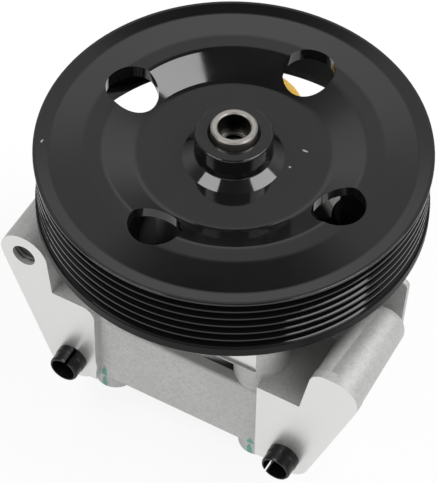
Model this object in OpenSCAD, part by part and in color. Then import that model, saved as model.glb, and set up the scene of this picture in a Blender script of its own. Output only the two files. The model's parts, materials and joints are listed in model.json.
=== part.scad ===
// Vane-type power steering pump with a belt pulley, standing on its rear cover.
// Z is the shaft axis and points out through the pulley. The mounting pads face -Y.
// The origin is on the shaft axis in the plane of the rear cover's outer face. Millimetres.

/* [Pulley] */
// Outside diameter over the pulley flanges
pulley_od = 128; // [124:0.5:132]
// Height of the pulley's upper rim above the rear face
rim_z = 110; // [109:0.5:116]
// Height of the pulley's rim from edge to edge
rim_h = 26.2; // [25:0.2:27]
// Number of belt grooves
groove_count = 6; // [4:1:6]
// Pitch of the belt grooves
groove_pitch = 3.56; // [3.3:0.02:3.6]
// Depth of the belt grooves
groove_depth = 3.2; // [2.4:0.1:3.4]
// Thickness of the rim behind the grooves, at its open edge
rim_wall = 2.2; // [1.6:0.1:3]
// Thickness of the dished web
web_t = 4.5; // [3.5:0.25:5]
// Radius of the flat inner disc of the web
disc_r = 31.2; // [28:0.2:33]
// Drop of the inner disc below the upper rim
disc_drop = 4.4; // [3:0.2:5]
// Inner and outer radius of the raised crest of the web
crest_r = [42.3, 47.7]; // [38:0.1:52]
// Rise of the crest above the upper rim
crest_rise = 0.9; // [0.4:0.1:2]
// Radius of the valley between the crest and the rim lip
valley_r = 58.9; // [57:0.1:59.5]
// Drop of the valley below the upper rim
valley_drop = 0.9; // [0.4:0.1:1.5]
// Number of tool holes in the web
web_hole_count = 4; // [3:1:5]
// Diameter of the tool holes in the web
web_hole_d = 17.2; // [14:0.2:18]
// Radius of the circle on which the tool holes lie
web_hole_circle_r = 41; // [39:0.5:43]
// Angle of the first tool hole from +X
web_hole_turn = -7.5; // [-45:0.5:45]

/* [Hub and shaft] */
// Diameter of the shaft under the pulley hub
hub_seat_d = 15; // [14:0.5:16]
// Diameter of the shaft at the ball bearing
shaft_d = 17; // [17:0.5:18]
// Diameter of the shaft at the rotor
rotor_seat_d = 16; // [15:0.5:16.5]
// Diameter of the rear journal of the shaft
journal_d = 14; // [12:0.5:14.5]
// Height of the shaft's end above the upper rim
shaft_end_rise = 9.5; // [8:0.5:12]
// Wall radius of the puller thread in the shaft's end
puller_r = 4.25; // [3.4:0.05:4.5]
// Depth of the puller thread's end below the shaft's end
puller_depth = 24; // [18:1:40]
// Radius of the plain mouth above the puller thread
mouth_r = 5.4; // [4.8:0.1:5.8]
// Depth of the plain mouth
mouth_depth = 9; // [4:0.5:12]
// Height of the hub collar above the upper rim
collar_rise = 6.6; // [5:0.2:7.5]
// Diameter of the hub collar
collar_d = 25; // [23.4:0.2:26]
// Diameter of the hub where it sits in the web
hub_base_d = 32.8; // [30:0.2:38]
// Height of the straight part of the hub, from its top to its flared foot
collar_h = 8.6; // [8:0.2:10.4]

/* [Ball bearing] */
// Outside radius of the ball bearing
bearing_r = 20; // [19.6:0.1:20.4]
// Width of the ball bearing
bearing_w = 12; // [11:0.5:13]
// Radius of the balls
ball_r = 3.35; // [3:0.05:3.5]
// Number of balls
ball_count = 8; // [6:1:8]

/* [Pumping pack] */
// Width of the cam ring
ring_w = 18; // [14:0.5:20]
// Outside radius of the cam ring and the plates
pack_r = 32.5; // [31:0.1:32.7]
// Smallest radius of the cam track
cam_r = 20; // [19:0.1:21]
// Lift of the cam track
cam_lift = 2.5; // [1:0.1:3]
// Thickness of the vanes
vane_t = 1.8; // [1.4:0.1:2.2]
// Radial length of the vanes
vane_l = 8.4; // [7:0.1:9]
// Thickness of the rear pressure plate
rear_plate_t = 7; // [6:0.5:9]
// Thickness of the front pressure plate
front_plate_t = 5; // [4:0.5:7]
// Radius of the locating pins
pin_r = 2; // [1.5:0.1:2.5]
// Radius of the circle on which the locating pins lie
pin_circle_r = 27.5; // [26.5:0.1:28.5]

/* [Housing] */
// Radius of the bore that holds the pumping pack
cavity_r = 33; // [32.9:0.1:34]
// Outside radius of the barrel
barrel_r = 38.2; // [37.5:0.1:39]
// Thickness of the roof over the pumping pack
roof_t = 5.5; // [4:0.5:6]
// Outside radius of the neck round the bearing
neck_r = 25; // [24:0.2:27]
// Distance of the mounting pads from the shaft axis
pad_y = 44; // [43:0.2:48]
// Set-back of the cast wall behind the pads
wall_set_back = 3; // [2:0.2:3.2]
// Height of the top of the cast wall
wall_top_z = 48; // [44:0.5:50]
// Thickness of the ledge on top of the cast wall
ledge_t = 4; // [3:0.2:4.5]
// Depth of the cast pocket behind the ledge
pocket_depth = 8; // [4:0.5:14]
// Height of the shelf behind both pads
shelf_z = 55.5; // [54:0.5:58]
// Height of the milled heads of the bolt bosses
boss_top_z = 72; // [68:0.5:74]
// Radius of the bolt bosses
boss_r = 9.3; // [8.8:0.1:9.4]

/* [Mounting pads] */
// Height of both locating sleeves
sleeve_z = 25.4; // [24.5:0.2:28]
// Distance of the left sleeve from the shaft axis
left_sleeve_x = 36; // [35.6:0.1:38]
// Distance of the right sleeve from the shaft axis
right_sleeve_x = 45; // [43:0.5:47]
// Outside radius of the locating sleeves
sleeve_r = 5.4; // [5.1:0.1:5.6]
// Bore radius of the locating sleeves
sleeve_bore_r = 4.3; // [4.1:0.1:4.5]
// Length of the sleeves in front of the pads
sleeve_out = 6.5; // [4:0.5:10]
// Depth of the sleeves in the pads
sleeve_in = 8; // [6:0.5:8]
// Wall radius of the tapped holes behind the sleeves
tapped_r = 3.4; // [3:0.1:3.5]
// Depth of the left tapped hole, from the pad
left_tapped_depth = 22; // [16:0.5:22]
// Depth of the right tapped hole, from the pad
right_tapped_depth = 26; // [18:0.5:28]
// Distance of the ear hole from the shaft axis, to the left
ear_x = 53.2; // [52:0.2:56]
// Height of the ear hole
ear_z = 68.9; // [66:0.2:72]
// Wall radius of the threaded ear hole
ear_hole_r = 4.25; // [3.4:0.05:5]
// Radius of the ear round its hole
ear_r = 8.8; // [8.2:0.1:9.4]
// Depth of the ear and the left leg
left_leg_depth = 24; // [22:0.5:26]
// Distance of the right leg's round top from the shaft axis
lobe_x = 61.4; // [60:0.2:63]
// Height of the axis of the right leg's round top
lobe_z = 68; // [66:0.5:70]
// Radius of the right leg's round top at its pad
lobe_r = 8.3; // [7.8:0.1:8.8]
// How much smaller that radius is at the back end, for the draft of the casting
lobe_draft = 1; // [0.4:0.1:1.4]
// Depth of the right leg up to its rounded end
right_leg_depth = 37; // [35:0.5:39]

/* [Rear cover] */
// Height of the joint between the cover and the housing
joint_z = 18.5; // [17.5:0.5:20]
// Height of the cover's spigot in the housing bore
spigot_h = 4; // [3.5:0.5:6]
// Radius of the cover's flange
flange_r = 36.5; // [36:0.1:37.5]
// Thickness of the cover's flange
flange_t = 5.5; // [4:0.5:8]
// Radius of the flat rear face
rear_face_r = 26; // [20:0.5:30]
// Radius of the bolt lobes
cover_lobe_r = 7.2; // [6.5:0.1:8]
// Step of the bolt lobes above the rear face
cover_lobe_step = 8; // [6:0.5:9]

/* [Bolts] */
// Thread radius of the bolts that hold the rear cover
bolt_r = 4; // [3.5:0.1:4.1]
// Width across the flats of the bolt heads
bolt_flats = 13; // [11:0.5:14]
// Height of the bolt heads
bolt_head_h = 8; // [6:0.5:9]
// Radius of the washer flange of the bolt heads
bolt_flange_r = 8.5; // [7.8:0.1:8.7]

/* [Ports] */
// Radius of the flow-control valve bore
valve_r = 6; // [5.5:0.1:6.2]
// Distance of the valve bore from the shaft axis, behind the barrel
valve_y = 47; // [46:0.5:48]
// Height of the valve bore
valve_z = 36; // [35:0.5:37]
// Thread radius of the outlet union
union_r = 9; // [8.5:0.1:9.4]
// Width across the flats of the outlet union
union_flats = 24; // [22:0.5:25]
// Wall radius of the outlet port thread
outlet_r = 6.2; // [5:0.1:6.5]
// Depth of the outlet port thread
outlet_depth = 13; // [8:0.5:15]
// Outside radius of the suction stub
stub_r = 7.5; // [7:0.1:8]
// Wall thickness of the suction stub
stub_wall = 1.2; // [0.8:0.1:1.6]
// Distance of the suction stub from the shaft axis, to the left
stub_x = 19.2; // [18.6:0.2:20.6]
// Height of the suction stub
stub_z = 60.4; // [59.6:0.2:61]
// Length of the suction stub outside the housing
stub_out = 20; // [16:1:30]
// Length of the shipping cap
cap_l = 16; // [12:1:18]
// Wall thickness of the shipping cap
cap_wall = 3.4; // [1.5:0.1:3.6]

/* [Fits] */
// Radial gap of a running or sliding fit
run_gap = 0.03; // [0.02:0.01:0.05]
// Gap between a bolt and its clearance hole
bolt_gap = 0.3; // [0.2:0.05:0.4]

/* [Hidden] */
$fn = 64;
eps = 0.01;
pulley_r = pulley_od / 2;

// Heights of the pumping pack, from the cover up
spring_gap = 2;
spigot_top_z = joint_z + spigot_h;
rear_plate_z = spigot_top_z + spring_gap;
ring_z = rear_plate_z + rear_plate_t;
front_plate_z = ring_z + ring_w;
roof_z = front_plate_z + front_plate_t;
barrel_top_z = roof_z + roof_t;

// Heights inside the neck, from the roof up
seal_z = roof_z + 13.5;
seal_h = 8;
bearing_z = roof_z + 27.5;
bearing_top_z = bearing_z + bearing_w;
clip_t = 1.5;
neck_top_z = bearing_top_z + clip_t + 0.5;
hub_z = neck_top_z + 1;

// Ball bearing
ball_gap = 0.08;
land_reach = 0.58 * ball_r;
shield_t = bearing_w / 12;
shield_set_in = 0.2;
cage_h = bearing_w * 2 / 3;
cage_reach = 0.27 * ball_r;
clip_groove = 1;
clip_reach = 0.12 * bearing_r;
clip_slit = 0.3 * bearing_r;
ball_pitch_r = (bearing_r + shaft_d / 2) / 2;
outer_land_r = ball_pitch_r + land_reach;
inner_land_r = ball_pitch_r - land_reach;
ball_z = bearing_z + bearing_w / 2;

// Shaft seal
seal_r = 15;
shaft_land_r = shaft_d / 2 + 0.5;
shoulder_r = 0.85 * bearing_r;

// Pulley section
disc_z = rim_z - disc_drop;
web_under_z = disc_z - web_t;
crest_z = rim_z + crest_rise;
valley_z = rim_z - valley_drop;
rim_bottom_z = rim_z - rim_h;
lip_t = 1.4;
edge_r = 0.4;
first_ridge_z = rim_z - lip_t + 0.4;
ridge_drop = 0.6;
ridge_flat = 0.6;
rim_inner_r = pulley_r - ridge_drop - groove_depth - rim_wall;
rim_taper = 1.2;

// Hub and shaft heights
collar_top_z = rim_z + collar_rise;
cone_top_z = collar_top_z - collar_h;
shaft_end_z = rim_z + shaft_end_rise;
shaft_foot_z = 6;
shaft_collar_r = shaft_d / 2 + 2;
shaft_collar_h = 4;
hub_skirt_r = hub_seat_d / 2 + 6.5;

// Rotor and vanes
vane_count = 10;
vane_pitch = 360 / vane_count;
rotor_r = cam_r - 0.5;
rotor_gap = 0.02;
vane_tip_r = rotor_r - 0.1;
slot_t = vane_t + 2 * run_gap;
slot_floor_r = vane_tip_r - vane_l - 0.5;
rotor_clip_t = 1.2;
rotor_clip_r = rotor_seat_d / 2 + 2.2;
rotor_clip_groove_r = rotor_seat_d / 2 - 0.8;
pin_angles = [60, 240];
pin_seat = 2.5;
port_angles = [0, 90, 180, 270];
port_circle_r = cam_r + cam_lift / 2 - 2;

// Bolts that hold the cover: two behind the pads, two at the back
bolt_points = [[-26.8, -31.5], [29.2, -31.5], [35, 23.5], [-35, 23.5]];
bolt_foot_z = cover_lobe_step + 2.5;
bolt_hole_r = bolt_r + bolt_gap;
lobe_web_w = 1.5 * cover_lobe_r;

// Pads and legs in the plane of the pads, as [x, z, radius]
ear_circle = [-ear_x, ear_z, ear_r];
left_foot = [-left_sleeve_x, sleeve_z, sleeve_r + 4];
right_foot = [right_sleeve_x, sleeve_z, sleeve_r + 3.6];
left_pad_edge_x = -27;
right_pad_edge_x = 34;
ear_neck = [-43, shelf_z];
notch = [49.4, shelf_z];
lobe_corner_x = 53.3;
lobe_corner_r = 5.5;
lobe_edge_r = 3.6;
pad_skin_t = 3.6;
shelf_round = 4.5;
pad_foot_t = 3.5;
wall_y = -pad_y + wall_set_back;
ear_back_y = -pad_y + left_leg_depth;
lobe_end_y = -pad_y + right_leg_depth;
wall_edge_r = 1.2;
// Lug behind the end of the right leg, and the milled rib beside the right bolt boss
lug_x = 62.8;
lug_y = 3.5;
lug_t = 2;
lug_top_z = boss_top_z + 2.4;
rib_left_x = 12;
mill_y = -pad_y + 4;
mill_z = shelf_z + 2.5;
mill_right_x = 31.6;

// Flow-control valve, by distance along its own axis from the plane X = 0
valve_floor = -18;
valve_back = valve_floor - 6;
valve_mouth = 18;
port_boss_r = union_r + 4;
port_face = 32;
union_foot = valve_mouth + 0.5;
washer_t = 1.5;
hex_h = 10;
hex_foot = port_face + washer_t;
outlet_face = hex_foot + hex_h;
orifice_r = 2;
spool_r = valve_r - run_gap;
spool_l = 18.5;
spool_foot = union_foot - spool_l;
spool_bore_r = 3.4;
seat_l = 6;
seat_hole_r = 1.2;
relief_ball_r = 2;
relief_ball_y = spool_foot + seat_l + sqrt(pow(relief_ball_r, 2) - pow(seat_hole_r, 2));
guide_y = relief_ball_y + relief_ball_r;
guide_head_r = 3.2;
guide_head_t = 1.2;
guide_stem_r = 1.2;
guide_stem_l = 1.6;
relief_room = spool_foot + 14.6;
gallery_r = 2;
gallery_x = -16;
gallery_start = [cavity_r - 6, rear_plate_z - 1];
gallery_end = [valve_y, valve_z];

// Suction side
stub_face_y = 44;
stub_in = 13;
stub_boss_r = stub_r + 4.5;
stub_collar_r = stub_r + 3;
stub_collar_t = 3;
stub_end_y = stub_face_y + stub_out;
inlet_floor_y = 14;
cap_end_t = 2;
cap_end_y = stub_end_y + cap_end_t;
seal_cord_r = 1.2;
ring_cord_r = 1;

// Shared shapes

// Points where the outer tangent on one side of two circles touches them
function tangent_points(a, b, side) =
    let (
        along = atan2(b[1] - a[1], b[0] - a[0]),
        lean = acos((a[2] - b[2]) / norm([b[0] - a[0], b[1] - a[1]])),
        turn = along + side * lean
    )
    [for (c = [a, b]) [c[0] + c[2] * cos(turn), c[1] + c[2] * sin(turn)]];

function unit(v) = v / norm(v);

function turned(v, angle) = [v[0] * cos(angle) - v[1] * sin(angle), v[0] * sin(angle) + v[1] * cos(angle)];

// Arc of the given radius that rounds the corner b between a and c
function corner_arc(a, b, c, r) =
    let (
        u = unit(a - b),
        v = unit(c - b),
        half = acos(u * v) / 2,
        centre = b + r / sin(half) * unit(u + v),
        start = b + r / tan(half) * u - centre,
        sweep = (180 - 2 * half) * sign(cross(v, u)),
        steps = max(2, ceil(abs(sweep) / 9))
    )
    [for (i = [0 : steps]) centre + turned(start, sweep * i / steps)];

// Profile from a list of [x, y] points and [x, y, corner radius] points
function rounded(profile) =
    let (
        n = len(profile),
        flat = [for (p = profile) [p[0], p[1]]]
    )
    [for (i = [0 : n - 1]) each
        len(profile[i]) < 3
            ? [flat[i]]
            : corner_arc(flat[(i + n - 1) % n], flat[i], flat[(i + 1) % n], profile[i][2])];

module disc_at(c) {
    translate([c[0], c[1]]) circle(r = c[2]);
}

// Outline in the plane of the pads, drawn out towards -Y from a given depth
module along_y(back_y, length) {
    translate([0, back_y, 0]) rotate([90, 0, 0]) linear_extrude(length) children();
}

// Round bar along Y
module bar_y(x, z, r, from_y, to_y) {
    translate([x, from_y, z]) rotate([-90, 0, 0]) cylinder(r = r, h = to_y - from_y);
}

// Body turned about an axis along +Y, from a profile of [radius, y]
module turned_y(x, z, profile) {
    translate([x, 0, z]) rotate([-90, 0, 0]) rotate_extrude() polygon(profile);
}

// Frame of the valve: its +Y is the valve's axis, towards the outlet, which faces -X
module at_valve() {
    translate([0, valve_y, valve_z]) rotate(90) children();
}

module at_bolts() {
    for (p = bolt_points) translate([p[0], p[1], 0]) children();
}

module at_pins() {
    for (a = pin_angles) rotate(a) translate([pin_circle_r, 0, 0]) children();
}

module ring(inner_r, outer_r, z, h) {
    translate([0, 0, z]) difference() {
        cylinder(r = outer_r, h = h);
        translate([0, 0, -1]) cylinder(r = inner_r, h = h + 2);
    }
}

module o_ring(mean_r, cord_r, z) {
    translate([0, 0, z]) rotate_extrude() translate([mean_r, 0]) circle(r = cord_r);
}

module hexagon(flats, h) {
    cylinder(d = flats / cos(30), h = h, $fn = 6);
}

// Housing

module left_pad_outline() {
    tangent = tangent_points(ear_circle, left_foot, -1);
    disc_at(ear_circle);
    disc_at(left_foot);
    polygon([
        tangent[0],
        tangent[1],
        [-left_sleeve_x, sleeve_z],
        [left_pad_edge_x - shelf_round, shelf_z],
        ear_neck,
        [-ear_x + ear_r * cos(10), ear_z + ear_r * sin(10)],
        [-ear_x, ear_z]
    ]);
    translate([-left_sleeve_x, joint_z])
        square([left_sleeve_x + left_pad_edge_x - shelf_round, shelf_z - joint_z]);
    translate([-left_sleeve_x, joint_z])
        square([left_sleeve_x + left_pad_edge_x, shelf_z - shelf_round - joint_z]);
    translate([left_pad_edge_x - shelf_round, shelf_z - shelf_round]) circle(r = shelf_round);
}

module right_pad_outline(r) {
    lobe = [lobe_x, lobe_z, r];
    tangent = tangent_points(lobe, right_foot, 1);
    disc_at(lobe);
    disc_at(right_foot);
    polygon(rounded([
        tangent[0],
        [lobe_x, lobe_z],
        [lobe_x, lobe_z + r],
        [lobe_corner_x, lobe_z + r, lobe_corner_r],
        notch,
        [right_pad_edge_x, shelf_z],
        [right_pad_edge_x, joint_z],
        [right_sleeve_x, joint_z],
        tangent[1]
    ]));
}

module front_wall() {
    difference() {
        translate([left_pad_edge_x - 2, 0, 0]) rotate([90, 0, 90])
            linear_extrude(right_pad_edge_x - left_pad_edge_x + 4) polygon(rounded([
                [wall_y, joint_z],
                [-12, joint_z],
                [-12, wall_top_z],
                [wall_y, wall_top_z, wall_edge_r]
            ]));
        translate([-18, wall_y + ledge_t, wall_top_z - pocket_depth]) cube([41, 30, pocket_depth + 1]);
    }
}

module legs() {
    along_y(ear_back_y, left_leg_depth) left_pad_outline();
    along_y(-pad_y + pad_skin_t, pad_skin_t) right_pad_outline(lobe_r);
    along_y(lobe_end_y - pad_skin_t, right_leg_depth - 1.5 * pad_skin_t)
        right_pad_outline(lobe_r - lobe_draft);
    turned_y(lobe_x, lobe_z, rounded([
        [0, -pad_y + pad_skin_t / 4],
        [lobe_r - 0.1, -pad_y + pad_skin_t / 4],
        [lobe_r - lobe_draft, lobe_end_y, lobe_edge_r],
        [0, lobe_end_y]
    ]));
    // Rib that carries the ear on the barrel
    translate([-ear_x, ear_back_y - 8, shelf_z - 16]) cube([ear_x - 18, 8, 16]);
}

module bosses() {
    at_bolts() translate([0, 0, joint_z]) cylinder(r = boss_r, h = boss_top_z - joint_z);
    at_valve() bar_y(0, 0, port_boss_r, valve_back, port_face);
    bar_y(-stub_x, stub_z, stub_boss_r, 0, stub_face_y);
    // Rib between the neck and the right bolt boss
    translate([rib_left_x, mill_y - 0.8, mill_z - 0.6])
        cube([bolt_points[1][0] - rib_left_x, 22, boss_top_z - mill_z - 2]);
}

// Web from the right leg to the neck, with the lug behind the leg's end and its backing rib
module lug() {
    root_x = neck_r - 6;
    translate([0, 0, shelf_z - 6]) linear_extrude(7)
        polygon([[root_x, -14], [lobe_x - 2.4, -14], [lobe_x - 1.4, lug_y + 1], [root_x, lug_y + 1]]);
    along_y(lug_y + lug_t, lug_t) polygon(rounded([
        [root_x, shelf_z - 5],
        [lug_x - 1.2, shelf_z - 5],
        [lug_x, lug_top_z, 2.2],
        [root_x, lug_top_z]
    ]));
    translate([0, 0, shelf_z - 5.5]) linear_extrude(boss_top_z - shelf_z + 5) polygon([
        [root_x, lug_y + 1.2],
        [lug_x - 3, lug_y + 1.2],
        [lug_x - 9, lug_y + 8],
        [root_x, lug_y + 8]
    ]);
}

module neck() {
    translate([0, 0, barrel_top_z - roof_t]) cylinder(r = neck_r, h = neck_top_z - barrel_top_z + roof_t);
    translate([0, 0, barrel_top_z - eps]) cylinder(r1 = neck_r + 6, r2 = neck_r, h = 6);
    // Webs from the neck to the bolt bosses
    for (p = bolt_points)
        rotate(atan2(p[1], p[0])) translate([neck_r - 2, -3, barrel_top_z - eps])
            cube([norm(p) - neck_r - bolt_hole_r, 6, boss_top_z - barrel_top_z - 4]);
}

module pack_cavity() {
    translate([0, 0, joint_z - 1]) cylinder(r = cavity_r, h = roof_z - joint_z + 1);
    at_pins() translate([0, 0, roof_z - 1]) cylinder(r = pin_r, h = pin_seat + 1);
    translate([0, 0, roof_z - 1]) cylinder(r = shaft_land_r, h = neck_top_z - roof_z);
    translate([0, 0, seal_z]) cylinder(r = seal_r, h = bearing_z - seal_z - 5);
    translate([0, 0, bearing_z - 5 - eps]) cylinder(r = shoulder_r, h = 6);
    translate([0, 0, bearing_z]) cylinder(r = bearing_r, h = neck_top_z - bearing_z + 1);
    translate([0, 0, bearing_top_z]) cylinder(r = bearing_r + clip_groove, h = clip_t);
}

module valve_cavity() {
    gallery = gallery_end - gallery_start;
    at_valve() bar_y(0, 0, valve_r, valve_floor, valve_mouth + 1);
    at_valve() bar_y(0, 0, union_r, valve_mouth, port_face + 1);
    // Slanting pressure gallery from behind the rear plate
    translate([gallery_x, gallery_start[0], gallery_start[1]])
        rotate([atan2(gallery[1], gallery[0]) - 90, 0, 0]) cylinder(r = gallery_r, h = norm(gallery));
}

module suction_cavity() {
    bar_y(-stub_x, stub_z, stub_r, inlet_floor_y, stub_face_y + 1);
    bar_y(-stub_x, stub_z, stub_r + 2 * seal_cord_r, stub_face_y - 2 * seal_cord_r, stub_face_y + 1);
    translate([-stub_x + 1, 26, ring_z + 5]) cylinder(r = 4, h = stub_z - ring_z - 5);
}

module pad_holes() {
    for (x = [-left_sleeve_x, right_sleeve_x]) bar_y(x, sleeve_z, sleeve_r, -pad_y - 1, -pad_y + sleeve_in);
    bar_y(-left_sleeve_x, sleeve_z, tapped_r, -pad_y - 1, -pad_y + left_tapped_depth);
    bar_y(right_sleeve_x, sleeve_z, tapped_r, -pad_y - 1, -pad_y + right_tapped_depth);
    bar_y(-ear_x, ear_z, ear_hole_r, -pad_y - 1, ear_back_y + 1);
}

module housing() {
    color([0.78, 0.78, 0.77]) difference() {
        union() {
            front_wall();
            translate([0, 0, joint_z]) cylinder(r = barrel_r, h = barrel_top_z - joint_z);
            legs();
            bosses();
            lug();
            neck();
        }
        pack_cavity();
        valve_cavity();
        suction_cavity();
        pad_holes();
        at_bolts() translate([0, 0, joint_z - 1]) cylinder(r = bolt_hole_r, h = boss_top_z);
        // Clearance above the bolt heads and room for the cover below the joint
        at_bolts() translate([0, 0, boss_top_z]) cylinder(r = bolt_flange_r + 0.4, h = 20);
        translate([-100, -pad_y + pad_foot_t, joint_z - 20]) cube([200, 200, 20]);
        // Flat milled along the front of the right bolt boss and its rib
        translate([rib_left_x - 2, -pad_y, mill_z])
            cube([mill_right_x - rib_left_x + 2, pad_y + mill_y, 40]);
    }
}

module split_sleeve(x, slit_turn) {
    color([0.10, 0.10, 0.10])
        translate([x, -pad_y, sleeve_z]) rotate([-90, 0, 0]) difference() {
            rotate_extrude() polygon([
                [sleeve_bore_r, sleeve_in],
                [sleeve_r, sleeve_in],
                [sleeve_r, -sleeve_out * 0.35],
                [sleeve_r - 0.25, -sleeve_out * 0.45],
                [sleeve_r - 0.25, -sleeve_out + 0.6],
                [sleeve_r - 0.6, -sleeve_out],
                [sleeve_bore_r, -sleeve_out]
            ]);
            rotate(-slit_turn) translate([0, -0.55, -sleeve_out - 1])
                cube([2 * sleeve_r, 1.1, sleeve_out + sleeve_in + 2]);
        }
}

module sleeve_left() {
    split_sleeve(-left_sleeve_x, 74);
}

module sleeve_right() {
    split_sleeve(right_sleeve_x, 221);
}

// Rear cover and its fastening

module rear_cover() {
    color([0.74, 0.74, 0.73]) difference() {
        union() {
            rotate_extrude() polygon([
                [0, 0],
                [rear_face_r - 1, 0],
                [rear_face_r, 1],
                [flange_r - 0.5, joint_z - flange_t],
                [flange_r, joint_z - flange_t],
                [flange_r, joint_z],
                [cavity_r - 0.1, joint_z],
                [cavity_r - 0.1, spigot_top_z],
                [0, spigot_top_z]
            ]);
            at_bolts() translate([0, 0, cover_lobe_step + 1])
                cylinder(r = cover_lobe_r, h = joint_z - cover_lobe_step - 1);
            at_bolts() translate([0, 0, cover_lobe_step])
                cylinder(r1 = cover_lobe_r - 1, r2 = cover_lobe_r, h = 1);
            // Webs from the domed cover to the lobes
            for (p = bolt_points)
                rotate(atan2(p[1], p[0])) translate([rear_face_r, -lobe_web_w / 2, cover_lobe_step + 1.6])
                    cube([norm(p) - rear_face_r - 1, lobe_web_w, joint_z - cover_lobe_step - 2]);
        }
        translate([0, 0, shaft_foot_z - 1]) cylinder(r = journal_d / 2 + 2, h = spigot_top_z);
        at_bolts() translate([0, 0, bolt_foot_z - 1]) cylinder(r = bolt_r, h = joint_z);
        at_pins() translate([0, 0, spigot_top_z - pin_seat]) cylinder(r = pin_r, h = pin_seat + 1);
        ring(cavity_r - 2 * ring_cord_r, cavity_r + 1, joint_z + 0.9, 2.2);
    }
}

module cover_bolts() {
    color([0.62, 0.62, 0.60]) at_bolts() {
        translate([0, 0, bolt_foot_z]) cylinder(r = bolt_r, h = boss_top_z - bolt_foot_z + 1);
        translate([0, 0, boss_top_z]) cylinder(r = bolt_flange_r, h = 1.6);
        translate([0, 0, boss_top_z + 1]) hexagon(bolt_flats, bolt_head_h - 1);
    }
}

module cover_seal() {
    color([0.08, 0.08, 0.08]) o_ring(cavity_r - ring_cord_r, ring_cord_r, joint_z + 2);
}

module rear_bush() {
    color([0.72, 0.55, 0.30])
        ring(journal_d / 2 + run_gap, journal_d / 2 + 2, shaft_foot_z, spigot_top_z - shaft_foot_z - 2);
}

// Seal and ball bearing in the neck

module shaft_seal() {
    lip_r = shaft_d / 2 + run_gap;
    case_r = seal_r - 2;
    color([0.12, 0.12, 0.12]) translate([0, 0, seal_z]) rotate_extrude() polygon([
        [seal_r, 0],
        [seal_r, seal_h],
        [lip_r + 0.3, seal_h],
        [lip_r + 0.3, seal_h - 1.2],
        [lip_r + 3, seal_h - 1.2],
        [lip_r + 1.1, 3.5],
        [lip_r, 2.6],
        [lip_r, 2],
        [lip_r + 2, 1.4],
        [case_r, 5.2],
        [case_r, 0]
    ]);
}

// Section of the ball groove shared by both bearing rings
module ball_groove() {
    translate([0, 0, ball_z]) rotate_extrude() translate([ball_pitch_r, 0]) circle(r = ball_r + ball_gap);
}

module bearing_outer_ring() {
    color([0.66, 0.67, 0.68]) difference() {
        ring(outer_land_r, bearing_r, bearing_z, bearing_w);
        ball_groove();
        for (z = [bearing_z - 1, bearing_top_z - shield_t - shield_set_in])
            translate([0, 0, z]) cylinder(r = outer_land_r + shield_t, h = 1 + shield_t + shield_set_in);
    }
}

module bearing_inner_ring() {
    color([0.66, 0.67, 0.68]) difference() {
        ring(shaft_d / 2, inner_land_r, bearing_z, bearing_w);
        ball_groove();
    }
}

module bearing_shields() {
    color([0.14, 0.14, 0.14]) for (z = [bearing_z + shield_set_in, bearing_top_z - shield_t - shield_set_in])
        ring(inner_land_r + 0.2, outer_land_r + shield_t, z, shield_t);
}

module at_balls() {
    for (i = [0 : ball_count - 1])
        rotate(i * 360 / ball_count) translate([ball_pitch_r, 0, ball_z]) children();
}

module bearing_balls() {
    color([0.80, 0.81, 0.82]) at_balls() sphere(r = ball_r);
}

module bearing_cage() {
    color([0.55, 0.50, 0.38]) difference() {
        ring(ball_pitch_r - cage_reach, ball_pitch_r + cage_reach, ball_z - cage_h / 2, cage_h);
        at_balls() sphere(r = ball_r + ball_gap);
    }
}

module bearing_circlip() {
    color([0.30, 0.30, 0.31]) difference() {
        ring(bearing_r - clip_reach, bearing_r + clip_groove, bearing_top_z, clip_t);
        translate([0, -clip_slit / 2, bearing_top_z - 1]) cube([bearing_r + 2, clip_slit, clip_t + 2]);
    }
}

// Pumping pack

module pin_holes(z, h) {
    at_pins() translate([0, 0, z - 1]) cylinder(r = pin_r, h = h + 2);
}

// Short kidney port: a round slot through a plate
module plate_ports(z, h) {
    for (a = port_angles) for (step = [-12, 0, 12])
        rotate(a + 45 + step) translate([port_circle_r, 0, z - 1]) cylinder(r = 2.2, h = h + 2);
}

module front_plate() {
    color([0.60, 0.60, 0.58]) difference() {
        ring(shaft_land_r + 0.3, pack_r, front_plate_z, front_plate_t);
        translate([0, 0, front_plate_z - 1]) cylinder(r = rotor_clip_r + 0.8, h = rotor_clip_t + 2);
        plate_ports(front_plate_z, front_plate_t);
        pin_holes(front_plate_z, front_plate_t);
    }
}

module rear_plate() {
    color([0.60, 0.60, 0.58]) difference() {
        ring(rotor_seat_d / 2 + 0.4, pack_r, rear_plate_z, rear_plate_t);
        ring(cavity_r - 2 * ring_cord_r, cavity_r + 1, rear_plate_z + rear_plate_t / 2 - 1.1, 2.2);
        plate_ports(rear_plate_z, rear_plate_t);
        pin_holes(rear_plate_z, rear_plate_t);
    }
}

module plate_seal() {
    color([0.08, 0.08, 0.08])
        o_ring(cavity_r - ring_cord_r, ring_cord_r, rear_plate_z + rear_plate_t / 2);
}

module plate_spring() {
    spring_t = 0.8;
    inner_r = rotor_seat_d / 2 + 6;
    outer_r = pin_circle_r - pin_r - 1;
    color([0.45, 0.46, 0.48]) rotate_extrude() polygon([
        [inner_r, spigot_top_z],
        [outer_r, rear_plate_z - spring_t],
        [outer_r, rear_plate_z],
        [inner_r, spigot_top_z + spring_t]
    ]);
}

function cam_radius(angle) = cam_r + cam_lift / 2 * (1 - cos(2 * angle));

module cam_ring() {
    color([0.52, 0.53, 0.55]) difference() {
        translate([0, 0, ring_z]) cylinder(r = pack_r, h = ring_w);
        translate([0, 0, ring_z - 1]) linear_extrude(ring_w + 2)
            polygon([for (a = [0 : 3 : 357]) cam_radius(a) * [cos(a), sin(a)]]);
        pin_holes(ring_z, ring_w);
    }
}

module locating_pins() {
    color([0.70, 0.71, 0.72]) at_pins() translate([0, 0, spigot_top_z - pin_seat])
        cylinder(r = pin_r, h = roof_z - spigot_top_z + 2 * pin_seat);
}

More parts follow.
